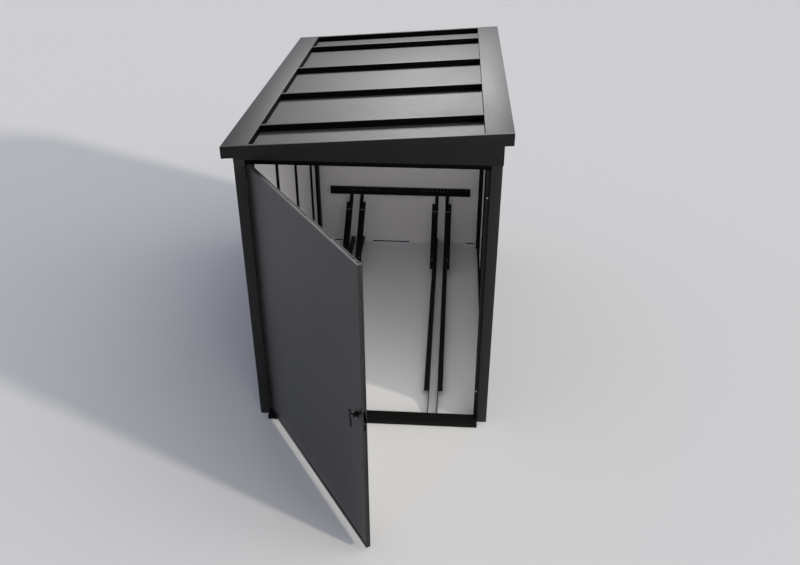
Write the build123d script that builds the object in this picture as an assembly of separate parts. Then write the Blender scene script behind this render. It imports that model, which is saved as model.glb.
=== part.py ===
import os
from math import cos, sin, radians

from build123d import *

# ---------------------------------------------------------------------------
# Bicycle shelter: sheet metal on posts and portal ribs, tray roof with a
# slight fall to the left, one outward-opening door, wheel rack inside.
# Millimetres. +X to the right, +Y to the back, +Z up. The origin is on the
# underside of the door sill, mid width, in the plane of the post fronts.
# ---------------------------------------------------------------------------

# overall
HALF_W = 600.0          # post outer faces
DEPTH = 2070.0          # front plane to rear edge of the roof
ROOF_XL = -655.0        # roof edges
ROOF_XR = 643.0
ROOF_ZL = 1495.7        # roof top at the left edge
ROOF_ZR = 1586.5        # roof top at the right edge

# posts, beams
POST = 50.0
POST_T = 2.5
HEAD_Z = 1422.0         # underside of the door head
FASCIA_Z = 1438.0       # lower edge of the fascia and top of the posts
FASCIA_XR = 603.0       # the fascia laps past the right post
REAR_IN = 575.0         # inner face of the rear posts
REAR_Y0 = 1974.0
REAR_Y1 = 2054.0
BACK_Y = 2050.0         # inner face of the back wall
SHEET = 2.0
VENT_X = ((-560.0, -424.0), (-196.0, 79.0), (501.0, 560.0))   # drain slots at the foot of the back wall
VENT_H = 11.0
WALL_X = 594.0          # inner face of the side walls
RAIL_X = 558.0          # inner face of the top rails
RAIL_H = 52.0

# portal ribs: front faces, width
RIB_Y = (273.0, 774.5, 1275.5, 1777.0)
RIB_W = 20.0
STUD_IN = 581.4         # inner face of the wall studs and their sole rail
SOLE_H = 40.0           # sole rail along the foot of each side wall

# roof tray
FLASH_XL = -532.0       # inner edge of the left flashing
FLASH_XR = 517.0        # inner edge of the right flashing
TRAY = 33.0             # depth of the tray
LIP = 20.0              # front and rear lips
EDGE_H = 56.0           # depth of the roof edge

# sill
SILL_X = 550.0
SILL_Y0 = -49.0
SILL_Y1 = 32.0
SILL_H = 22.0

# door stops
STOP_Y0 = 26.0
STOP_Y1 = 31.0
STOP_W = 18.0
STOP_TOP = 14.0         # the head stop is narrower

# door leaf, drawn closed and then opened
HINGE_X = -545.0
HINGE_Y = 0.0
OPEN_DEG = 56.2
LEAF_X0 = -540.0
LEAF_X1 = 544.0
LEAF_Z0 = 26.0
LEAF_Z1 = 1417.0
LEAF_D = 21.0
SKIN = 1.5
HEM = 24.0              # height of the foot rail's face, flush with the skin
GROOVE = 6.0            # shadow groove between that face and the skin
FRAME_T = 2.0
FRAME_W = 34.0

# handle
HAN_X = 501.0
HAN_Z = 735.0

# hinges
HINGE_Z = (112.0, 1270.0)
HINGE_H = 90.0
KNUCKLE_R = 4.5
PIN_R = 2.5

# rack
BAR_X0, BAR_X1 = -497.0, 517.0
BAR_Y0 = 2028.0
BAR_Z0, BAR_Z1 = 391.0, 445.0
BAY_X = (-304.0, 315.0)
SLOT = 45.0             # between the floor angles
STRUT_SLOT = 50.0       # between the inclined members
RAIL_T = 4.0
RAIL_FL = 29.0
STRUT_W = 25.0
EAR_W = 44.0
RAIL_Z = 40.0
RAIL_Y0 = 200.0
RAIL_Y1 = 2048.0
STRUT_Y = 1540.0


def zt(x):
    """Height of the roof plane at x."""
    return ROOF_ZL + (x - ROOF_XL) * (ROOF_ZR - ROOF_ZL) / (ROOF_XR - ROOF_XL)


def bx(x0, x1, y0, y1, z0, z1):
    return Pos((x0 + x1) / 2, (y0 + y1) / 2, (z0 + z1) / 2) * Box(x1 - x0, y1 - y0, z1 - z0)


def prism_y(pts, y0, y1):
    """Polygon in the XZ plane, carried from y0 to y1."""
    f = make_face(Polyline(*[(x, y0, z) for x, z in pts], close=True))
    return extrude(f, amount=y1 - y0, dir=(0, 1, 0))


def prism_x(pts, x0, x1):
    """Polygon in the YZ plane, carried from x0 to x1."""
    f = make_face(Polyline(*[(x0, y, z) for y, z in pts], close=True))
    return extrude(f, amount=x1 - x0, dir=(1, 0, 0))


def under(x, d):
    """Point a distance d below the roof plane."""
    return (x, zt(x) - d)


def band(x0, x1, d0, d1):
    """Sloping band between depths d0 and d1 below the roof plane."""
    return [under(x0, d1), under(x1, d1), under(x1, d0), under(x0, d0)]


nodes = {}

# --- posts -----------------------------------------------------------------
for side, name in ((-1, "front_post_left"), (1, "front_post_right")):
    xa, xb = sorted((side * HALF_W, side * (HALF_W - POST)))
    tube = bx(xa, xb, 0, POST, 0, FASCIA_Z)
    nodes[name] = tube - bx(xa + POST_T, xb - POST_T, POST_T, POST - POST_T, -1, FASCIA_Z + 1)

for side, name in ((-1, "rear_post_left"), (1, "rear_post_right")):
    xa, xb = sorted((side * HALF_W, side * REAR_IN))
    top = [under(xa, 3), under(xb, 3)]
    body = prism_y([(xa, 0), (xb, 0), top[1], top[0]], REAR_Y0, REAR_Y1)
    nodes[name] = body - bx(xa + POST_T, xb - POST_T, REAR_Y0 + POST_T, REAR_Y1 - POST_T, -1, 1400)

# --- door head and fascias -------------------------------------------------
inner = HALF_W - POST
head = bx(-inner, inner, 3, POST, HEAD_Z, HEAD_Z + 3)
head += bx(-inner, inner, 3, 6, HEAD_Z, FASCIA_Z + 14)
head += prism_y([(-inner, HEAD_Z), (inner, HEAD_Z), (inner, FASCIA_Z), (HALF_W, FASCIA_Z), under(HALF_W, TRAY + 4),
                 under(-HALF_W, TRAY + 4), (-HALF_W, FASCIA_Z), (-inner, FASCIA_Z)], POST - 3, POST)
nodes["door_head_beam"] = head

fascia = prism_y([
    (-HALF_W, FASCIA_Z), (FASCIA_XR, FASCIA_Z), under(FASCIA_XR, EDGE_H), under(ROOF_XR, EDGE_H),
    under(ROOF_XR, 0), under(ROOF_XL, 0), under(ROOF_XL, EDGE_H), under(-HALF_W, EDGE_H)], 0, 3)
fascia += prism_y(band(ROOF_XL, ROOF_XR, 0, SHEET), 0, LIP)
fascia += prism_y(band(FLASH_XL, FLASH_XR, 0, TRAY + 2), LIP - SHEET, LIP)
nodes["front_fascia"] = fascia

back = prism_y(band(ROOF_XL, ROOF_XR, 0, EDGE_H), DEPTH - 3, DEPTH)
back += prism_y(band(ROOF_XL, ROOF_XR, 0, SHEET), DEPTH - LIP, DEPTH)
back += prism_y(band(FLASH_XL, FLASH_XR, 0, TRAY + 2), DEPTH - LIP, DEPTH - LIP + SHEET)
back += prism_y(band(-HALF_W, HALF_W, EDGE_H - SHEET, EDGE_H), REAR_Y1, DEPTH)
nodes["rear_fascia"] = back

# --- roof flashings --------------------------------------------------------
def flashing(x_out, x_in, x_wall):
    lo, hi = sorted((x_out, x_in))
    t = SHEET if x_out < 0 else -SHEET
    out = sorted((x_out, x_out + t))
    inn = sorted((x_in, x_in - t))
    sof = sorted((x_out, x_wall))
    s = prism_y(band(lo, hi, 0, SHEET), LIP, DEPTH - LIP)
    s += prism_y(band(out[0], out[1], SHEET, EDGE_H), 3, DEPTH - 3)
    s += prism_y(band(inn[0], inn[1], 0, TRAY + 2), LIP, DEPTH - LIP)
    s += prism_y(band(sof[0], sof[1], EDGE_H - SHEET, EDGE_H), 3, DEPTH - 3)
    return s


nodes["roof_flashing_left"] = flashing(ROOF_XL, FLASH_XL, -HALF_W)
nodes["roof_flashing_right"] = flashing(ROOF_XR, FLASH_XR, HALF_W)

# --- roof sheets and ribs --------------------------------------------------
edges = [LIP] + [v for y in RIB_Y for v in (y, y + RIB_W)] + [DEPTH - LIP]
sheets = []
for i in range(5):
    sheets.append(prism_y(band(FLASH_XL, FLASH_XR, TRAY, TRAY + SHEET), edges[2 * i], edges[2 * i + 1]))
nodes["roof_sheets"] = Compound(children=sheets)

for i, y in enumerate(RIB_Y):
    pts = [under(-RAIL_X, TRAY + 20), under(RAIL_X, TRAY + 20), under(RAIL_X, TRAY + 3), under(FLASH_XR, TRAY + 3),
           under(FLASH_XR, 0), under(FLASH_XL, 0), under(FLASH_XL, TRAY + 3), under(-RAIL_X, TRAY + 3)]
    nodes["roof_rib_%d" % (i + 1)] = prism_y(pts, y, y + RIB_W)

# --- top rails and rear beam -----------------------------------------------
nodes["top_rail_left"] = prism_y(band(-WALL_X, -RAIL_X, 3, 3 + RAIL_H), POST, REAR_Y0)
nodes["top_rail_right"] = prism_y(band(RAIL_X, WALL_X, 3, 3 + RAIL_H), POST, REAR_Y0)
nodes["rear_top_beam"] = prism_y(band(-REAR_IN, REAR_IN, TRAY + 4, TRAY + 44), REAR_Y0 + 40, BACK_Y)

# --- walls -----------------------------------------------------------------
cuts = [POST] + [y + RIB_W / 2 for y in RIB_Y] + [REAR_Y0]
for side, name in ((-1, "side_wall_left"), (1, "side_wall_right")):
    xa, xb = sorted((side * WALL_X, side * (WALL_X + SHEET)))
    parts = []
    for i in range(5):
        ya = cuts[i] + (1.0 if i else 0.0)
        yb = cuts[i + 1] - (1.0 if i < 4 else 0.0)
        parts.append(prism_y([(xa, 0), (xb, 0), under(xb, 3), under(xa, 3)], ya, yb))
    nodes[name] = Compound(children=parts)

for side, name in ((-1, "wall_studs_left"), (1, "wall_studs_right")):
    xa, xb = sorted((side * WALL_X, side * STUD_IN))
    studs = bx(xa, xb, POST, REAR_Y0, 0, SOLE_H)
    for y in RIB_Y:
        studs += prism_y([(xa, 0), (xb, 0), under(xb, 3 + RAIL_H), under(xa, 3 + RAIL_H)], y, y + RIB_W)
    nodes[name] = studs

wall = prism_y([(-REAR_IN, 0), (REAR_IN, 0), under(REAR_IN, TRAY + 4), under(-REAR_IN, TRAY + 4)],
               BACK_Y, BACK_Y + SHEET)
for x0, x1 in VENT_X:
    wall -= bx(x0, x1, BACK_Y - 1, BACK_Y + SHEET + 1, -1, VENT_H)
wall += bx(-REAR_IN, REAR_IN, BACK_Y + SHEET, DEPTH - 3, 0, SHEET)   # foot flange, folded outwards
nodes["back_wall"] = wall

# --- sill and stops --------------------------------------------------------
sill = bx(-SILL_X, SILL_X, SILL_Y0, SILL_Y1, 0, SILL_H)
nodes["door_sill"] = sill - bx(-SILL_X - 1, SILL_X + 1, SILL_Y0 + 2, SILL_Y1 - 2, 2, SILL_H - 2)

nodes["door_stop_top"] = bx(-inner, inner, STOP_Y0, STOP_Y1, HEAD_Z - STOP_TOP, HEAD_Z)
nodes["door_stop_left"] = bx(-inner, -inner + STOP_W, STOP_Y0, STOP_Y1, SILL_H, HEAD_Z - STOP_TOP)
nodes["door_stop_right"] = bx(inner - STOP_W, inner, STOP_Y0, STOP_Y1, SILL_H, HEAD_Z - STOP_TOP)

# --- door leaf (closed position) -------------------------------------------
def open_door(s):
    return s.rotate(Axis((HINGE_X, HINGE_Y, 0), (0, 0, 1)), -OPEN_DEG)


leaf = {}
SKIN_Z0 = LEAF_Z0 + HEM + GROOVE
leaf["door_skin"] = bx(LEAF_X0, LEAF_X1, 0, SKIN, SKIN_Z0, LEAF_Z1)


def stile(x_edge, x_in):
    """Upright channel: web on the leaf's edge, flanges front and back."""
    lo, hi = sorted((x_edge, x_in))
    t = FRAME_T if x_in > x_edge else -FRAME_T
    web = sorted((x_edge, x_edge + t))
    s = bx(web[0], web[1], SKIN, LEAF_D, LEAF_Z0, LEAF_Z1 - FRAME_T)
    s += bx(web[0], web[1], 0, SKIN, LEAF_Z0, SKIN_Z0)
    s += bx(lo, hi, SKIN, SKIN + FRAME_T, SKIN_Z0 + 4, LEAF_Z1 - FRAME_T)
    s += bx(lo, hi, LEAF_D - FRAME_T, LEAF_D, SKIN_Z0 + 4, LEAF_Z1 - FRAME_T)
    return s


leaf["door_stile_hinge"] = stile(LEAF_X0, LEAF_X0 + FRAME_W)
leaf["door_stile_lock"] = stile(LEAF_X1, LEAF_X1 - FRAME_W)
xl, xr = LEAF_X0 + FRAME_W, LEAF_X1 - FRAME_W

# top rail: its web closes the leaf over the stiles
top = bx(LEAF_X0, LEAF_X1, SKIN, LEAF_D, LEAF_Z1 - FRAME_T, LEAF_Z1)
top += bx(xl, xr, SKIN, SKIN + FRAME_T, LEAF_Z1 - FRAME_W, LEAF_Z1)
top += bx(xl, xr, LEAF_D - FRAME_T, LEAF_D, LEAF_Z1 - FRAME_W, LEAF_Z1)
leaf["door_rail_top"] = top

# foot rail: front face flush with the skin, a recessed ledge behind the groove
xa, xb = LEAF_X0 + FRAME_T, LEAF_X1 - FRAME_T
foot = bx(xa, xb, 0, LEAF_D, LEAF_Z0, LEAF_Z0 + FRAME_T)
foot += bx(xa, xb, 0, FRAME_T, LEAF_Z0, LEAF_Z0 + HEM)
foot += bx(xa, xb, 0, 10, LEAF_Z0 + HEM - FRAME_T, LEAF_Z0 + HEM)
foot += bx(xa, xb, 8, 10, LEAF_Z0 + HEM - FRAME_T, SKIN_Z0 + 4)
foot += bx(xa, xb, SKIN, 10, SKIN_Z0 + 2, SKIN_Z0 + 4)
foot += bx(xa, xb, LEAF_D - FRAME_T, LEAF_D, LEAF_Z0, SKIN_Z0 + 4)
foot += bx(xl, xr, LEAF_D - FRAME_T, LEAF_D, SKIN_Z0 + 4, LEAF_Z0 + 60)
leaf["door_rail_bottom"] = foot
LOCK_X0 = 468.0
leaf["door_rail_middle"] = (bx(xl, LOCK_X0, SKIN, SKIN + FRAME_T, HAN_Z - 40, HAN_Z + 40)
                            + bx(xl, LOCK_X0, SKIN, LEAF_D, HAN_Z - 25, HAN_Z - 23)
                            + bx(xl, LOCK_X0, SKIN, LEAF_D, HAN_Z + 23, HAN_Z + 25)
                            + bx(xl, LOCK_X0, LEAF_D - FRAME_T, LEAF_D, HAN_Z - 25, HAN_Z + 25))
# lock case inside the leaf, handle rose and turning handle outside
leaf["door_lock_case"] = bx(LOCK_X0, xr, SKIN, LEAF_D, HAN_Z - 70, HAN_Z + 70)
rose = Pos(HAN_X, -1, HAN_Z) * Rot(90, 0, 0) * Cylinder(22, 2)
rose -= Pos(HAN_X, -1, HAN_Z) * Rot(90, 0, 0) * Cylinder(9.05, 4)
leaf["door_handle_rose"] = rose
grip = Pos(HAN_X, -15, HAN_Z) * Rot(90, 0, 0) * Cylinder(9.0, 30)
grip += fillet(bx(HAN_X - 6.5, HAN_X + 6.5, -36, -27, HAN_Z - 49, HAN_Z + 33).edges().filter_by(Axis.Z), 3)
leaf["door_handle"] = grip

# hinges
k = HINGE_H / 3
for z0, tag in zip(HINGE_Z, ("lower", "upper")):
    axis = Pos(HINGE_X, HINGE_Y, 0)

    def cyl(r, za, zb):
        return Pos(HINGE_X, HINGE_Y, (za + zb) / 2) * Cylinder(r, zb - za)

    post_x = -inner
    fixed = bx(post_x, post_x + 1.5, 6, 22, z0, z0 + HINGE_H)
    for za, zb in ((z0, z0 + k - 0.3), (z0 + 2 * k + 0.3, z0 + HINGE_H)):
        fixed += bx(post_x, post_x + 1.5, -1, 6, za, zb)
        fixed += bx(post_x, HINGE_X, -1.5, 1.5, za, zb)
        fixed += cyl(KNUCKLE_R, za, zb)
    fixed += cyl(PIN_R, z0, z0 + HINGE_H)
    nodes["hinge_%s_post_half" % tag] = fixed

    mov = bx(LEAF_X0 - 1.8, LEAF_X0, 6, 20, z0, z0 + HINGE_H)
    mov += bx(LEAF_X0 - 1.8, LEAF_X0, 0, 6, z0 + k, z0 + 2 * k)
    mov += bx(HINGE_X, LEAF_X0, 0, 1.5, z0 + k, z0 + 2 * k)
    mov += cyl(KNUCKLE_R, z0 + k, z0 + 2 * k)
    mov -= cyl(PIN_R + 0.05, z0 + k - 1, z0 + 2 * k + 1)
    leaf["hinge_%s_door_half" % tag] = mov

for name, s in leaf.items():
    nodes[name] = open_door(s)

# --- rack ------------------------------------------------------------------
bar = bx(BAR_X0, BAR_X1, BAR_Y0, BAR_Y0 + 3, BAR_Z0, BAR_Z1)
bar += bx(BAR_X0, BAR_X1, BAR_Y0, BACK_Y, BAR_Z1 - 3, BAR_Z1)
bar += bx(BAR_X0, BAR_X1, BAR_Y0, BACK_Y, BAR_Z0, BAR_Z0 + 3)
nodes["rack_crossbar"] = bar


def rail(xc, side):
    """Floor angle: upright web along the slot, flange on its outer side."""
    a = xc + side * SLOT / 2
    w = sorted((a, a + side * RAIL_T))
    f = sorted((a, a + side * RAIL_FL))
    s = prism_x([(SILL_Y1, 0), (RAIL_Y1, 0), (RAIL_Y1, RAIL_Z), (RAIL_Y0, RAIL_Z), (SILL_Y1, 8)], w[0], w[1])
    s += bx(f[0], f[1], RAIL_Y0, RAIL_Y1, RAIL_Z - 3, RAIL_Z)
    return s


def strut(xc, side):
    """Inclined member from the crossbar down to the floor angle."""
    a = xc + side * STRUT_SLOT / 2
    y0, z0 = STRUT_Y, RAIL_Z
    y1, z1 = BAR_Y0, BAR_Z0
    run, rise = y1 - y0, z1 - z0
    length = (run * run + rise * rise) ** 0.5
    u = (run / length, rise / length)
    n = (u[1], -u[0])            # below the member
    def p(t, d):
        return (y0 + u[0] * t + n[0] * d, z0 + u[1] * t + n[1] * d)
    d = 4.0
    plate = [(y0, z0), (y1, z1), (y1, z1 - d / u[0]), (y0 + d / u[1], z0)]
    f = sorted((a, a + side * STRUT_W))
    s = prism_x(plate, f[0], f[1])
    # wider ear along most of the length
    e = sorted((a, a + side * EAR_W))
    s += prism_x([p(18, 0), p(length - 62, 0), p(length - 62, 4), p(24, 4)], e[0], e[1])
    # web along the slot
    w = sorted((a, a + side * RAIL_T))
    s += prism_x([(y0, z0), (y1, z1), (y1, z1 - 22 / u[0]), (y0 + 22 / u[1], z0)], w[0], w[1])
    return s


for xc, tag in zip(BAY_X, ("left", "right")):
    nodes["bay_rails_%s" % tag] = Compound(children=[rail(xc, -1), rail(xc, 1)])
    nodes["bay_struts_%s" % tag] = Compound(children=[strut(xc, -1), strut(xc, 1)])

os.makedirs("parts", exist_ok=True)
for name, s in nodes.items():
    export_step(s, "parts/%s.step" % name)
print(len(nodes), "nodes")
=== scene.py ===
import math

import bmesh
import bpy
from mathutils import Matrix, Vector


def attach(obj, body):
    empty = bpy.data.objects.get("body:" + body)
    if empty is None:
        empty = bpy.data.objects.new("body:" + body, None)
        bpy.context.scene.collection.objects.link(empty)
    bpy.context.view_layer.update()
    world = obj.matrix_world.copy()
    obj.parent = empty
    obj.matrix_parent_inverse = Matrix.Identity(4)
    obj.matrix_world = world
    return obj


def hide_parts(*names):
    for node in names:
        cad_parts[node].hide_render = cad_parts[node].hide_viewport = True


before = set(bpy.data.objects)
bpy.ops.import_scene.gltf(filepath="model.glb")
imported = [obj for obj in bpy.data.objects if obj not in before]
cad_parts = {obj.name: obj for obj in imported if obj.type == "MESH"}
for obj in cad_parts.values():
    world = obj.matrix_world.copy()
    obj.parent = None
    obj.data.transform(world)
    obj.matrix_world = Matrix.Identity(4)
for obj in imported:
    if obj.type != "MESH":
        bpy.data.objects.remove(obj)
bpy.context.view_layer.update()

scene = bpy.context.scene

# ---------------------------------------------------------------------------
# camera: the photograph's viewpoint, from a perspective fit
# ---------------------------------------------------------------------------
F_PX, W_PX = 802.14, 800.0
YAW, PITCH, ROLL = math.radians(-3.9113), math.radians(29.9663), 0.0014
fwd = Vector((math.sin(YAW) * math.cos(PITCH), math.cos(YAW) * math.cos(PITCH), -math.sin(PITCH)))
right = Vector((math.cos(YAW), -math.sin(YAW), 0.0))
down = fwd.cross(right)
r2 = right * math.cos(ROLL) + down * math.sin(ROLL)
d2 = -right * math.sin(ROLL) + down * math.cos(ROLL)
rot = Matrix((r2, -d2, -fwd)).transposed()
cam_data = bpy.data.cameras.new("camera")
cam_data.sensor_fit = "HORIZONTAL"
cam_data.sensor_width = 36.0
cam_data.lens = F_PX / W_PX * 36.0
cam_data.clip_end = 200
cam = bpy.data.objects.new("camera", cam_data)
scene.collection.objects.link(cam)
cam.matrix_world = Matrix.Translation((0.37388, -3.31743, 2.75008)) @ rot.to_4x4()
scene.camera = cam

# ---------------------------------------------------------------------------
# the door's own frame: x along the leaf when shut, y into the shelter, z up,
# in metres; DOOR carries it to the rest position, 56.2 degrees open
# ---------------------------------------------------------------------------
OPEN = math.radians(56.2)
HINGE = Vector((-0.545, 0.0, 0.0))
DOOR = Matrix.Translation(HINGE) @ Matrix.Rotation(-OPEN, 4, "Z") @ Matrix.Translation(-HINGE)
OUT = DOOR.to_3x3() @ Vector((0, -1, 0))       # outer normal of the leaf at rest
HAN_X, HAN_Z = 0.501, 0.735
SPINDLE = DOOR @ Vector((HAN_X, 0.0, HAN_Z))

# ---------------------------------------------------------------------------
# materials
# ---------------------------------------------------------------------------


def new_mat(name):
    m = bpy.data.materials.new(name)
    m.use_nodes = True
    nt = m.node_tree
    nt.nodes.clear()
    out = nt.nodes.new("ShaderNodeOutputMaterial")
    bsdf = nt.nodes.new("ShaderNodeBsdfPrincipled")
    nt.links.new(bsdf.outputs["BSDF"], out.inputs["Surface"])
    return m, nt, bsdf


class Nodes:
    """Short hand for building a node tree."""

    def __init__(self, nt):
        self.n, self.l = nt.nodes, nt.links

    def put(self, sock, v):
        if isinstance(v, bpy.types.NodeSocket):
            self.l.new(v, sock)
        else:
            sock.default_value = v

    def math(self, op, a, b=None, c=None):
        m = self.n.new("ShaderNodeMath")
        m.operation = op
        for i, v in enumerate((a, b, c)):
            if v is not None:
                self.put(m.inputs[i], v)
        return m.outputs[0]

    def noise(self, vec, scale, detail=4, rough=0.55, stretch=None):
        if stretch:
            mp = self.n.new("ShaderNodeMapping")
            mp.inputs["Scale"].default_value = stretch
            self.l.new(vec, mp.inputs["Vector"])
            vec = mp.outputs[0]
        t = self.n.new("ShaderNodeTexNoise")
        t.inputs["Scale"].default_value = scale
        t.inputs["Detail"].default_value = detail
        t.inputs["Roughness"].default_value = rough
        self.l.new(vec, t.inputs["Vector"])
        return t.outputs["Fac"]

    def rng(self, v, a, b, c, d):
        m = self.n.new("ShaderNodeMapRange")
        for k, x in (("From Min", a), ("From Max", b), ("To Min", c), ("To Max", d)):
            m.inputs[k].default_value = x
        self.put(m.inputs["Value"], v)
        return m.outputs["Result"]

    def mix(self, f, a, b):
        m = self.n.new("ShaderNodeMix")
        m.data_type = "RGBA"
        self.put(m.inputs["Factor"], f)
        for k, v in (("A", a), ("B", b)):
            sock = [s for s in m.inputs if s.name == k and s.type == "RGBA"][0]
            self.put(sock, v if isinstance(v, bpy.types.NodeSocket) else (*v, 1))
        return [s for s in m.outputs if s.type == "RGBA"][0]

    def dot(self, vec, d):
        m = self.n.new("ShaderNodeVectorMath")
        m.operation = "DOT_PRODUCT"
        self.l.new(vec, m.inputs[0])
        m.inputs[1].default_value = d
        return m.outputs["Value"]

    def dist(self, vec, p):
        m = self.n.new("ShaderNodeVectorMath")
        m.operation = "DISTANCE"
        self.l.new(vec, m.inputs[0])
        m.inputs[1].default_value = p
        return m.outputs["Value"]


def coat(name, col, rough=0.45, spec=0.25, cloud=0.05, dust=0.05, peel=0.05, inside=None, under=None,
         ground=0.25, metallic=0.0):
    """Fine-textured powder coat on folded sheet: orange peel, faint clouding, a film of dust on what faces up
    and near the ground. inside=(direction, offset, colour) paints the sheet's reverse side, whose places lie at
    direction.P < offset, in the pale lining; under= paints what faces down."""
    m, nt, b = new_mat(name)
    k = Nodes(nt)
    tc = k.n.new("ShaderNodeTexCoord")
    P = tc.outputs["Object"]
    geo = k.n.new("ShaderNodeNewGeometry")
    sepn = k.n.new("ShaderNodeSeparateXYZ")
    k.l.new(geo.outputs["Normal"], sepn.inputs[0])
    sepp = k.n.new("ShaderNodeSeparateXYZ")
    k.l.new(P, sepp.inputs[0])
    big = k.noise(P, 2.1, 5)
    mid = k.noise(P, 31.0, 4)
    fine = k.noise(P, 640.0, 3, 0.6)
    grain = k.noise(P, 1900.0, 2, 0.5)
    f = k.rng(big, 0.3, 0.7, 0.0, 1.0)
    colour = k.mix(f, [c * (1 - cloud) for c in col], [min(1.0, c * (1 + cloud)) for c in col])
    # the texture's own grain lightens and darkens the coat a little
    colour = k.mix(k.rng(fine, 0.35, 0.68, 0.0, 0.16), colour, [min(1.0, c * 1.7) for c in col])
    if inside:
        d, off, icol = inside
        pale = k.math("LESS_THAN", k.dot(P, d), off)
        lining = k.mix(f, [c * 0.975 for c in icol], [min(1.0, c * 1.02) for c in icol])
        lining = k.mix(k.rng(mid, 0.4, 0.8, 0.0, 0.05), lining, (0.45, 0.44, 0.44))
        colour = k.mix(pale, colour, lining)
    if under:
        icol = under
        dn = k.math("LESS_THAN", sepn.outputs["Z"], -0.5)
        lining = k.mix(f, [c * 0.975 for c in icol], [min(1.0, c * 1.02) for c in icol])
        colour = k.mix(dn, colour, lining)
    # dust
    if dust:
        up = k.rng(sepn.outputs["Z"], 0.3, 1.0, 0.0, dust)
        low = k.rng(sepp.outputs["Z"], 0.14, 0.0, 0.0, dust * ground / 0.25)
        amt = k.math("MULTIPLY", k.math("ADD", up, low), k.rng(mid, 0.3, 0.75, 0.15, 1.0))
        colour = k.mix(amt, colour, (0.30, 0.29, 0.27))
    k.l.new(colour, b.inputs["Base Color"])
    r = k.math("ADD", k.rng(big, 0.2, 0.8, rough - 0.03, rough + 0.03), k.rng(mid, 0.2, 0.8, -0.02, 0.02))
    k.l.new(r, b.inputs["Roughness"])
    b.inputs["Specular IOR Level"].default_value = spec
    b.inputs["Metallic"].default_value = metallic
    hgt = k.math("ADD", fine, k.math("MULTIPLY", grain, 0.35))
    bump = k.n.new("ShaderNodeBump")
    bump.inputs["Strength"].default_value = peel
    bump.inputs["Distance"].default_value = 0.0006
    k.l.new(hgt, bump.inputs["Height"])
    k.l.new(bump.outputs["Normal"], b.inputs["Normal"])
    return m


def brushed(name, col, rough=0.32, metallic=1.0):
    """Zinc-plated steel: faint spangle and fine scratches."""
    m, nt, b = new_mat(name)
    k = Nodes(nt)
    tc = k.n.new("ShaderNodeTexCoord")
    P = tc.outputs["Object"]
    a = k.noise(P, 900, 4)
    s = k.noise(P, 260, 3, 0.5, (1, 1, 12))
    k.l.new(k.mix(k.rng(a, 0.3, 0.7, 0, 1), [c * 0.82 for c in col], [min(1, c * 1.1) for c in col]), b.inputs["Base Color"])
    k.l.new(k.rng(s, 0.25, 0.75, rough - 0.06, rough + 0.12), b.inputs["Roughness"])
    b.inputs["Metallic"].default_value = metallic
    bump = k.n.new("ShaderNodeBump")
    bump.inputs["Strength"].default_value = 0.15
    bump.inputs["Distance"].default_value = 0.0002
    k.l.new(s, bump.inputs["Height"])
    k.l.new(bump.outputs["Normal"], b.inputs["Normal"])
    return m


PALE = (0.79, 0.775, 0.777)
M_FRAME = coat("coat_frame", (0.012, 0.012, 0.0125), rough=0.5, spec=0.25)
M_FASCIA = coat("coat_fascia", (0.0115, 0.0115, 0.0118), rough=0.5, spec=0.10)
M_ROOF = coat("coat_roof", (0.012, 0.012, 0.0122), rough=0.745, spec=0.55, dust=0.02)
M_ROOFSHEET = coat("coat_roofsheet", (0.012, 0.012, 0.0122), rough=0.745, spec=0.55, dust=0.02, under=PALE)
M_BLACK = coat("coat_black", (0.003, 0.003, 0.003), rough=0.55, spec=0.10, dust=0.01)
# near-black coat put where there is only shade: painted shade in gaps, recesses and on faces turned from the light
M_PAINTED_SHADE = coat("painted_shade", (0.0016, 0.0016, 0.0016), rough=0.6, spec=0.03, dust=0)
M_RACK = coat("coat_rack", (0.0035, 0.0035, 0.0036), rough=0.5, spec=0.14, dust=0.01)
M_SILL = coat("coat_sill", (0.0034, 0.0033, 0.0033), rough=0.55, spec=0.10, dust=0.008)
M_DOOR = coat("coat_door", (0.0065, 0.0062, 0.0066), rough=0.30, spec=0.53, dust=0.006, peel=0.012)
M_DOOREDGE = coat("coat_door_edge", (0.0032, 0.0032, 0.0032), rough=0.745, spec=0.50, dust=0.004)
M_DOORSKIN = coat("coat_door_skin", (0.0065, 0.0062, 0.0066), rough=0.30, spec=0.53, dust=0.006, peel=0.012,
                  inside=(OUT, OUT.dot(HINGE) - 0.0007, (0.55, 0.54, 0.53)))
M_WALL_R = coat("coat_wall_right", (0.026, 0.0265, 0.028), rough=0.5, spec=0.25, inside=((1, 0, 0), 0.595, PALE))
M_WALL_L = coat("coat_wall_left", (0.026, 0.0265, 0.028), rough=0.5, spec=0.25, inside=((-1, 0, 0), 0.595, PALE))
M_BACK = coat("coat_back", (0.026, 0.0265, 0.028), rough=0.5, spec=0.25, inside=((0, 1, 0), 2.051, PALE), ground=0.1)
M_HINGE = coat("hinge_black", (0.003, 0.003, 0.003), rough=0.38, spec=0.3, dust=0)
M_HANDLE = coat("handle_black", (0.003, 0.003, 0.0031), rough=0.42, spec=0.16, dust=0)
M_ROSE = coat("handle_rose", (0.0045, 0.0043, 0.0046), rough=0.34, spec=0.40, dust=0)
# a darker copy of the door coat: painted shade on the skin's lowest faces by the groove
M_HEM_SHADE = coat("coat_hem_painted_shade", (0.0032, 0.0032, 0.0032), rough=0.55, spec=0.20, dust=0.004)
M_GRIP = coat("handle_grip", (0.016, 0.016, 0.018), rough=0.40, spec=0.4, dust=0)
M_ZINC = brushed("zinc", (0.52, 0.52, 0.53))
M_ZINC_DARK = brushed("zinc_dark", (0.10, 0.10, 0.105), rough=0.4)
M_COLLAR = brushed("zinc_collar", (0.26, 0.26, 0.265), rough=0.45)
M_BUFFER = coat("buffer_white", (0.78, 0.78, 0.76), rough=0.45, spec=0.4, dust=0)

# door_stop_top and door_head take the painted-shade coat: a black strip of painted shade under the fascia, over the
# doorway
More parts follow.
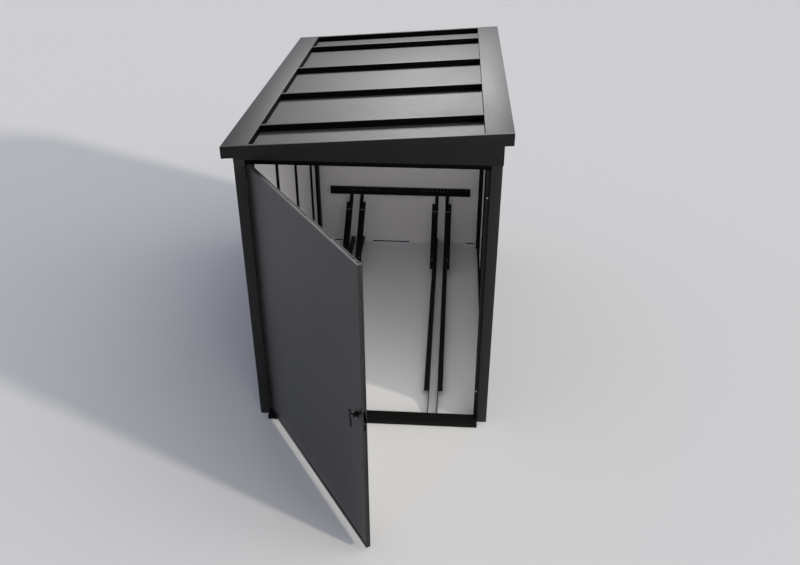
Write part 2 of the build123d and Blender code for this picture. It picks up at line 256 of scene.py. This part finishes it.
rules = [
    ("door_skin", M_DOORSKIN, "door_metal"), ("door_stop_top", M_PAINTED_SHADE, "black_metal"), ("door_stop", M_FRAME, "black_metal"), ("door_sill", M_SILL, "frame_metal"),
    ("door_head", M_PAINTED_SHADE, "frame_metal"), ("door_handle_rose", M_DOOR, "handle_black"),
    ("door_handle", M_HANDLE, "handle_black"), ("door_lock", M_HANDLE, "handle_black"),
    ("door_rail_top", M_DOOREDGE, "door_metal"), ("door_stile", M_DOOREDGE, "door_metal"), ("door_", M_DOOR, "door_metal"),
    ("hinge", M_HINGE, "hinge_metal"), ("front_fascia", M_FASCIA, "roof_metal"), ("rear_fascia", M_FASCIA, "roof_metal"),
    ("roof_flashing", M_ROOF, "roof_metal"), ("roof_sheets", M_ROOFSHEET, "roof_metal"), ("roof_rib", M_ROOF, "roof_metal"),
    ("wall_studs", M_BLACK, "black_metal"), ("rack", M_RACK, "rack_metal"), ("bay_", M_RACK, "rack_metal"),
    ("side_wall_left", M_WALL_L, "wall_sheet"), ("side_wall_right", M_WALL_R, "wall_sheet"),
    ("back_wall", M_BACK, "wall_sheet"), ("front_post", M_FRAME, "frame_metal"), ("rear_post", M_BLACK, "frame_metal"),
    ("top_rail", M_FRAME, "frame_metal"), ("rear_top", M_FRAME, "frame_metal"),
]


def rule(name):
    return next((m, s) for key, m, s in rules if name.startswith(key))


def body_name(node):
    if node.startswith(("door_skin", "door_stile", "door_rail", "door_lock", "door_handle_rose")) or node.endswith("door_half"):
        return "door"
    return "handle" if node == "door_handle" else "shelter"


for name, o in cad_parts.items():
    o.data.materials.clear()
    o.data.materials.append(rule(name)[0])

# ---------------------------------------------------------------------------
# mesh tools
# ---------------------------------------------------------------------------


def link(name, me, body, mat, smooth=40.0):
    o = bpy.data.objects.new(name, me)
    scene.collection.objects.link(o)
    me.materials.clear()
    me.materials.append(mat)
    for p in me.polygons:
        p.use_smooth = True
    me.set_sharp_from_angle(angle=math.radians(smooth))
    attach(o, body)
    return o


def from_bm(bm, name):
    bmesh.ops.recalc_face_normals(bm, faces=bm.faces)
    me = bpy.data.meshes.new(name)
    bm.to_mesh(me)
    bm.free()
    return me


def at(p, axis):
    """Matrix that puts local +Z along axis, at p."""
    return Matrix.Translation(p) @ Vector(axis).normalized().to_track_quat("Z", "Y").to_matrix().to_4x4()


def lathe(bm, M, profile, segs=24, hexr=None):
    """Turns a (radius, height) profile about local Z; hexr is the index of rings drawn as a hexagon."""
    rings = []
    for i, (r, h) in enumerate(profile):
        if r <= 0:
            rings.append([bm.verts.new(M @ Vector((0, 0, h)))])
            continue
        ring = []
        for s in range(segs):
            t = 2 * math.pi * s / segs
            rr = r
            if hexr and i in hexr:
                q = (t % (math.pi / 3)) - math.pi / 6
                rr = r * math.cos(math.pi / 6) / math.cos(q)
            ring.append(bm.verts.new(M @ Vector((rr * math.cos(t), rr * math.sin(t), h))))
        rings.append(ring)
    for a, b in zip(rings, rings[1:]):
        for s in range(segs):
            s2 = (s + 1) % segs
            if len(a) == 1:
                bm.faces.new((a[0], b[s], b[s2]))
            elif len(b) == 1:
                bm.faces.new((a[s], a[s2], b[0]))
            else:
                bm.faces.new((a[s], a[s2], b[s2], b[s]))


def screw(bm, p, axis, r=0.0035, h=0.0022):
    """Pan head with a hexagon socket, its underside just sunk into the sheet."""
    s = 0.42 * r
    lathe(bm, at(p, axis), [(0, -0.0002), (r, -0.0002), (r, 0.35 * h), (0.93 * r, 0.7 * h), (0.74 * r, 0.94 * h), (0.55 * r, h),
                            (s, h), (s, 0.45 * h), (0, 0.38 * h)], 18, hexr=(6, 7))


def box_bm(bm, lo, hi, M=None):
    vs = [Vector((x, y, z)) for x in (lo[0], hi[0]) for y in (lo[1], hi[1]) for z in (lo[2], hi[2])]
    vs = [bm.verts.new(M @ v if M else v) for v in vs]
    for f in ((0, 1, 3, 2), (4, 6, 7, 5), (0, 4, 5, 1), (2, 3, 7, 6), (0, 2, 6, 4), (1, 5, 7, 3)):
        bm.faces.new([vs[i] for i in f])
    return vs


def prism_bm(bm, poly, M, d0, d1):
    """Polygon of (u, v) points swept along local Z from d0 to d1."""
    a = [bm.verts.new(M @ Vector((u, v, d0))) for u, v in poly]
    b = [bm.verts.new(M @ Vector((u, v, d1))) for u, v in poly]
    bm.faces.new(a[::-1])
    bm.faces.new(b)
    n = len(poly)
    for i in range(n):
        bm.faces.new((a[i], a[(i + 1) % n], b[(i + 1) % n], b[i]))


def refine(node, width=0.0008, segs=2, cut=None, extra=()):
    """Stands a finished piece in for a CAD node: the same shape with rounded folds and, where cut is given, real holes."""
    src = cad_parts[node]
    bm = bmesh.new()
    bm.from_mesh(src.data)
    bmesh.ops.remove_doubles(bm, verts=bm.verts, dist=2e-6)
    bmesh.ops.dissolve_limit(bm, angle_limit=math.radians(0.3), verts=bm.verts, edges=bm.edges)
    bm.verts.ensure_lookup_table()
    me = bpy.data.meshes.new(node + "_fine")
    me.from_pydata([v.co[:] for v in bm.verts], [], [[v.index for v in f.verts] for f in bm.faces])
    bm.free()
    me.update()
    o = bpy.data.objects.new(node + "_fine", me)
    scene.collection.objects.link(o)
    cutter = None
    if cut:
        cb = bmesh.new()
        cut(cb)
        cm = from_bm(cb, "cutter")
        cutter = bpy.data.objects.new("cutter", cm)
        scene.collection.objects.link(cutter)
        mod = o.modifiers.new("holes", "BOOLEAN")
        mod.operation = "DIFFERENCE"
        mod.solver = "EXACT"
        mod.object = cutter
    if width:
        mod = o.modifiers.new("folds", "BEVEL")
        mod.width = width
        mod.segments = segs
        mod.limit_method = "ANGLE"
        mod.angle_limit = math.radians(35)
        mod.use_clamp_overlap = True
        mod.miter_outer = "MITER_ARC"
    dg = bpy.context.evaluated_depsgraph_get()
    dg.update()
    done = bpy.data.meshes.new_from_object(o.evaluated_get(dg), depsgraph=dg)
    o.modifiers.clear()
    o.data = done
    done.name = node + "_fine"
    if cutter:
        bpy.data.objects.remove(cutter)
    m, s = rule(node)
    done.materials.clear()
    done.materials.append(m)
    for p in done.polygons:
        p.use_smooth = True
        p.material_index = 0
    for i, (em, test) in enumerate(extra):
        done.materials.append(em)
        for p in done.polygons:
            if test(p.normal, p.center):
                p.material_index = i + 1
    done.set_sharp_from_angle(angle=math.radians(50))
    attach(o, body_name(node))
    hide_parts(node)
    return o


# ---------------------------------------------------------------------------
# folded sheet and tube: rounded folds on what the eye meets
# ---------------------------------------------------------------------------
# the rear fascia's inward lip face gets painted shade
for n in ("front_fascia", "rear_fascia"):
    refine(n, 0.0006, 2, extra=((M_ROOF, lambda n, c: n.z > 0.9), (M_PAINTED_SHADE, lambda n, c: n.y < -0.5 and c.y > 2.0)))
# the left flashing's inner upright gets painted shade; the outer sides take the fascia coat
for n in ("roof_flashing_left", "roof_flashing_right"):
    refine(n, 0.0010, 2, extra=((M_PAINTED_SHADE, lambda n, c: n.x > 0.5 and -0.54 < c.x < -0.53),
                                (M_FASCIA, lambda n, c: abs(n.x) > 0.6 and abs(c.x) > 0.64)))
for n in ("front_post_left", "front_post_right", "door_sill"):
    refine(n, 0.0016, 3)
for n in ("rear_post_left", "rear_post_right"):
    refine(n, 0.0016, 3, extra=((M_FRAME, lambda n, c: n.x * c.x > 0.1 or n.y > 0.2),))
# the slots at the back wall's foot: reveals and flange top get painted shade, so the slots read as dark gaps
refine("back_wall", 0, 1, extra=((M_PAINTED_SHADE, lambda n, c: c.z < 0.0112 and (c.y > 2.0525 or abs(n.y) < 0.5)),))
# rib faces not facing up get painted shade; only their tops keep the roof coat
for n in ("roof_rib_1", "roof_rib_2", "roof_rib_3", "roof_rib_4"):
    refine(n, 0.0010, 2, extra=((M_PAINTED_SHADE, lambda n, c: n.z < 0.4),))
for n in ("wall_studs_left", "wall_studs_right", "door_stop_top", "door_stop_left", "door_stop_right", "door_head_beam"):
    refine(n, 0.0007, 2, extra=((M_FRAME, lambda n, c: abs(n.x) > 0.5 and abs(c.x) > 0.599),))
for n in ("bay_rails_left", "bay_rails_right", "bay_struts_left", "bay_struts_right"):
    refine(n, 0.0009, 2)
# the skin's lowest faces take the darker copy of the door coat, painted shade at the foot
refine("door_skin", 0, 1, extra=((M_DOOREDGE, lambda n, c: abs(n.dot(OUT)) < 0.5), (M_HEM_SHADE, lambda n, c: c.z < 0.0525)))
# the groove over the hem: its ledge and riser get painted shade, so it reads as a shadow gap
refine("door_rail_bottom", 0.0004, 1, extra=((M_PAINTED_SHADE, lambda n, c: c.z > 0.0485 and (HINGE - c).dot(OUT) > 0.0005),))
for n in ("door_rail_middle", "door_stile_hinge", "door_lock_case"):
    refine(n, 0.0004, 1)

# ---------------------------------------------------------------------------
# door: drilled top return and free edge, lock
# ---------------------------------------------------------------------------
D3 = DOOR.to_3x3()


def top_holes(bm):
    for t in (0.060, 0.250, 0.449, 0.627, 0.850, 1.038, 1.072):
        lathe(bm, DOOR @ at(Vector((-0.545 + t, 0.0115, 1.4120)), (0, 0, 1)), [(0, 0), (0.0028, 0), (0.0028, 0.008), (0, 0.008)], 24)


LATCH = [(0.0065, 0.7720), (0.0105, 0.7720), (0.0165, 0.7490), (0.0198, 0.7240), (0.0198, 0.7085), (0.0140, 0.7085), (0.0080, 0.7230), (0.0062, 0.7430)]
EDGE_M = DOOR @ Matrix.Translation((0.544, 0, 0)) @ Matrix(((0, 0, 1, 0), (1, 0, 0, 0), (0, 1, 0, 0), (0, 0, 0, 1)))


def edge_holes(bm):
    for z in (1.279, 1.042, 0.643, 0.400, 0.180):
        lathe(bm, DOOR @ at(Vector((0.538, 0.009, z)), (1, 0, 0)), [(0, 0), (0.0025, 0), (0.0025, 0.010), (0, 0.010)], 24)
    prism_bm(bm, LATCH, EDGE_M, -0.004, 0.002)
    prism_bm(bm, [(0.0060, 0.675), (0.0160, 0.675), (0.0160, 0.7030), (0.0060, 0.7030)], EDGE_M, -0.004, 0.002)


refine("door_rail_top", 0.0004, 1, cut=top_holes)
UNDOOR = DOOR.inverted()


# faces inside the latch cut get painted shade, so the cut reads as a deep dark hole
def in_lock_cut(n, c):
    q, m = UNDOOR @ c, UNDOOR.to_3x3() @ n
    return (q.x < 0.5415 or abs(m.x) < 0.5) and 0.0035 < q.y < 0.0210 and 0.672 < q.z < 0.775 and q.x > 0.539


refine("door_stile_lock", 0.0004, 1, cut=edge_holes, extra=((M_PAINTED_SHADE, in_lock_cut),))

# the screw under the latch that holds the lock case
bm = bmesh.new()
screw(bm, DOOR @ Vector((0.544, 0.0120, 0.6405)), D3 @ Vector((1, 0, 0)), 0.0032, 0.0012)
link("door_lock_screw", from_bm(bm, "door_lock_screw"), "door", M_BLACK)

# rose: a thin domed escutcheon on the skin; its rings darken in steps towards the spindle, painted shade for the soft
# dark halo round the handle's root
bm = bmesh.new()
M = DOOR @ at(Vector((HAN_X, 0, HAN_Z)), (0, -1, 0))
lathe(bm, M, [(0.0092, 0.0), (0.0220, 0.0), (0.0220, 0.0003), (0.0212, 0.0007), (0.0195, 0.0010), (0.0170, 0.0014), (0.0145, 0.0017), (0.0125, 0.0019),
               (0.0105, 0.0020), (0.0095, 0.0019), (0.0092, 0.0016), (0.0092, 0.0)], 56)
bmesh.ops.remove_doubles(bm, verts=bm.verts, dist=1e-7)
o = link("door_handle_rose_fine", from_bm(bm, "door_handle_rose_fine"), "door", M_ROSE, 30)
o.data.materials.append(M_BLACK)
o.data.materials.append(M_PAINTED_SHADE)
# rings by radius: painted shade innermost, black next, the rose's own coat outside
for p in o.data.polygons:
    q = p.center - SPINDLE
    r = (q - OUT * q.dot(OUT)).length
    p.material_index = 2 if r < 0.0120 else (1 if r < 0.0150 else 0)
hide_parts("door_handle_rose")

# handle: turned hub, zinc collar, T bar with rounded ends
bm = bmesh.new()
lathe(bm, M, [(0, 0.0004), (0.0088, 0.0004), (0.0088, 0.0075), (0.0082, 0.0085), (0.0082, 0.0215), (0.0088, 0.0225), (0.0088, 0.0300), (0, 0.0300)], 40)
hub = from_bm(bm, "hub")
bm = bmesh.new()
bm.from_mesh(hub)
bpy.data.meshes.remove(hub)
o = link("door_handle_hub", from_bm(bm, "door_handle_hub"), "handle", M_HANDLE, 30)
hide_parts("door_handle")
bm = bmesh.new()
box_bm(bm, (HAN_X - 0.0063, -0.0359, HAN_Z - 0.0489), (HAN_X + 0.0063, -0.0269, HAN_Z + 0.0329), DOOR)
bmesh.ops.recalc_face_normals(bm, faces=bm.faces)
bmesh.ops.bevel(bm, geom=list(bm.edges), offset=0.0026, segments=4, affect="EDGES", profile=0.6)
o = link("door_handle_bar", from_bm(bm, "door_handle_bar"), "handle", M_GRIP, 60)
o.data.materials.append(M_HANDLE)
for p in o.data.polygons:
    if p.normal.dot(OUT) < 0.75:
        p.material_index = 1
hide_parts("door_handle")
bm = bmesh.new()
lathe(bm, M, [(0.0087, 0.0251), (0.0090, 0.0251), (0.0092, 0.0254), (0.0092, 0.0264), (0.0090, 0.0267), (0.0087, 0.0267)], 40)
link("door_handle_collar", from_bm(bm, "door_handle_collar"), "handle", M_COLLAR, 30)

# ---------------------------------------------------------------------------
# hinges: screws in both halves
# ---------------------------------------------------------------------------
bm = bmesh.new()
bm2 = bmesh.new()
for z0 in (0.112, 1.270):
    for dz in (0.014, 0.045, 0.076):
        screw(bm, Vector((-0.5485, 0.0150, z0 + dz)), (1, 0, 0), 0.0032, 0.0014)
        screw(bm2, DOOR @ Vector((-0.5418, 0.0135, z0 + dz)), D3 @ Vector((-1, 0, 0)), 0.0032, 0.0014)
link("hinge_post_screws", from_bm(bm, "hinge_post_screws"), "shelter", M_ZINC_DARK)
link("hinge_door_screws", from_bm(bm2, "hinge_door_screws"), "door", M_ZINC_DARK)

# ---------------------------------------------------------------------------
# closing buffers on the right stop
# ---------------------------------------------------------------------------
bm = bmesh.new()
for z in (1.272, 0.181):
    lathe(bm, at(Vector((0.541, 0.026, z)), (0, -1, 0)),
          [(0, -0.0002), (0.0040, -0.0002), (0.0040, 0.0006), (0.0036, 0.0017), (0.0026, 0.0026), (0.0013, 0.0031), (0, 0.0032)], 28)
link("door_stop_buffers", from_bm(bm, "door_stop_buffers"), "shelter", M_BUFFER, 60)

# ---------------------------------------------------------------------------
# rack: threaded inserts along the crossbar, screws in the ears
# ---------------------------------------------------------------------------
BAR_HOLES = [0.169, 0.195, 0.221, 0.245, 0.277, 0.301, 0.325, 0.352]
BAR_HOLES += [-0.333, -0.307, -0.281, -0.257, -0.225, -0.201, -0.177, -0.150]


def bar_holes(bm):
    for x in BAR_HOLES:
        lathe(bm, at(Vector((x, 2.020, 0.428)), (0, 1, 0)), [(0, 0), (0.0023, 0), (0.0023, 0.014), (0, 0.014)], 20)


refine("rack_crossbar", 0.0012, 2, cut=bar_holes)
bm = bmesh.new()
for x in BAR_HOLES:
    lathe(bm, at(Vector((x, 2.028, 0.428)), (0, -1, 0)),
          [(0.0022, -0.0028), (0.0022, 0.0003), (0.0026, 0.0007), (0.0038, 0.0007), (0.0042, 0.0003), (0.0042, -0.0001), (0.0030, -0.0001)], 24)
link("rack_crossbar_inserts", from_bm(bm, "rack_crossbar_inserts"), "shelter", M_ZINC_DARK, 30)

bm = bmesh.new()
up = Vector((0, -0.5839, 0.8118))
for xc in (0.315, -0.304):
    for dx in (-0.053, -0.040, 0.039, 0.053):
        y = 1.925
        screw(bm, Vector((xc + dx, y, 0.040 + (y - 1.540) * 351 / 488)), up, 0.0037, 0.0024)
    for dx in (-0.0545, 0.0545):
        y = 1.612
        screw(bm, Vector((xc + dx, y, 0.040 + (y - 1.540) * 351 / 488)), up, 0.0037, 0.0024)
link("rack_ear_screws", from_bm(bm, "rack_ear_screws"), "shelter", M_ZINC)

# ---------------------------------------------------------------------------
# stage: floor, sun, sky
# ---------------------------------------------------------------------------
me = bpy.data.meshes.new("floor")
me.from_pydata([(-70, -70, 0), (70, -70, 0), (70, 70, 0), (-70, 70, 0)], [], [(0, 1, 2, 3)])
floor = bpy.data.objects.new("floor", me)
scene.collection.objects.link(floor)
m, nt, b = new_mat("floor")
k = Nodes(nt)
tc = k.n.new("ShaderNodeTexCoord")
k.l.new(k.mix(k.noise(tc.outputs["Object"], 0.7, 3), (0.745, 0.745, 0.745), (0.755, 0.755, 0.755)), b.inputs["Base Color"])
b.inputs["Roughness"].default_value = 0.9
b.inputs["Specular IOR Level"].default_value = 0.1
me.materials.append(m)
floor.location.z = -0.0003

world = bpy.data.worlds.new("sky")
scene.world = world
world.use_nodes = True
bg = world.node_tree.nodes["Background"]
bg.inputs["Color"].default_value = (0.338, 0.360, 0.430, 1)
bg.inputs["Strength"].default_value = 1.0


def sun(name, direction, energy, angle, colour):
    d = bpy.data.lights.new(name, "SUN")
    d.energy = energy
    d.angle = math.radians(angle)
    d.color = colour
    o = bpy.data.objects.new(name, d)
    scene.collection.objects.link(o)
    o.rotation_mode = "QUATERNION"
    o.rotation_quaternion = Vector(direction).normalized().to_track_quat("Z", "Y")
    return o


sun("sun", (0.851, -0.424, 0.309), 2.15, 4.0, (1.0, 0.955, 0.84))
sun("soft_right", (0.733, -0.365, 0.574), 1.5, 80.0, (1.0, 0.97, 0.90))

# a softbox over the roof, seen in the gloss of the coat alone
lamp_d = bpy.data.lights.new("over_roof", "POINT")
lamp_d.energy = 565.0
lamp_d.shadow_soft_size = 0.42
lamp = bpy.data.objects.new("over_roof", lamp_d)
lamp.location = (0.133, 2.226, 2.988)
scene.collection.objects.link(lamp)
lamp.visible_camera = False
lamp.visible_diffuse = False
lamp.visible_transmission = False

# soft light that the doorway lets in
fill_d = bpy.data.lights.new("doorway", "AREA")
fill_d.shape = "RECTANGLE"
fill_d.size, fill_d.size_y = 0.52, 1.20
fill_d.energy = 1.6
fill_d.color = (0.95, 0.955, 1.0)
fill = bpy.data.objects.new("doorway", fill_d)
scene.collection.objects.link(fill)
fill.location = (0.25, 0.045, 0.78)
fill.rotation_euler = (math.radians(90), 0, 0)
fill.visible_camera = False
fill.visible_glossy = False
fill.visible_transmission = False

# and the glow of the pale lining overhead
glow_d = bpy.data.lights.new("ceiling", "AREA")
glow_d.shape = "RECTANGLE"
glow_d.size, glow_d.size_y = 0.90, 1.50
glow_d.energy = 1.0
glow_d.color = (1.0, 0.965, 0.985)
glow = bpy.data.objects.new("ceiling", glow_d)
scene.collection.objects.link(glow)
glow.location = (0.12, 1.0, 1.40)
glow.visible_camera = False
glow.visible_glossy = False
glow.visible_transmission = False

scene.view_settings.view_transform = "Standard"
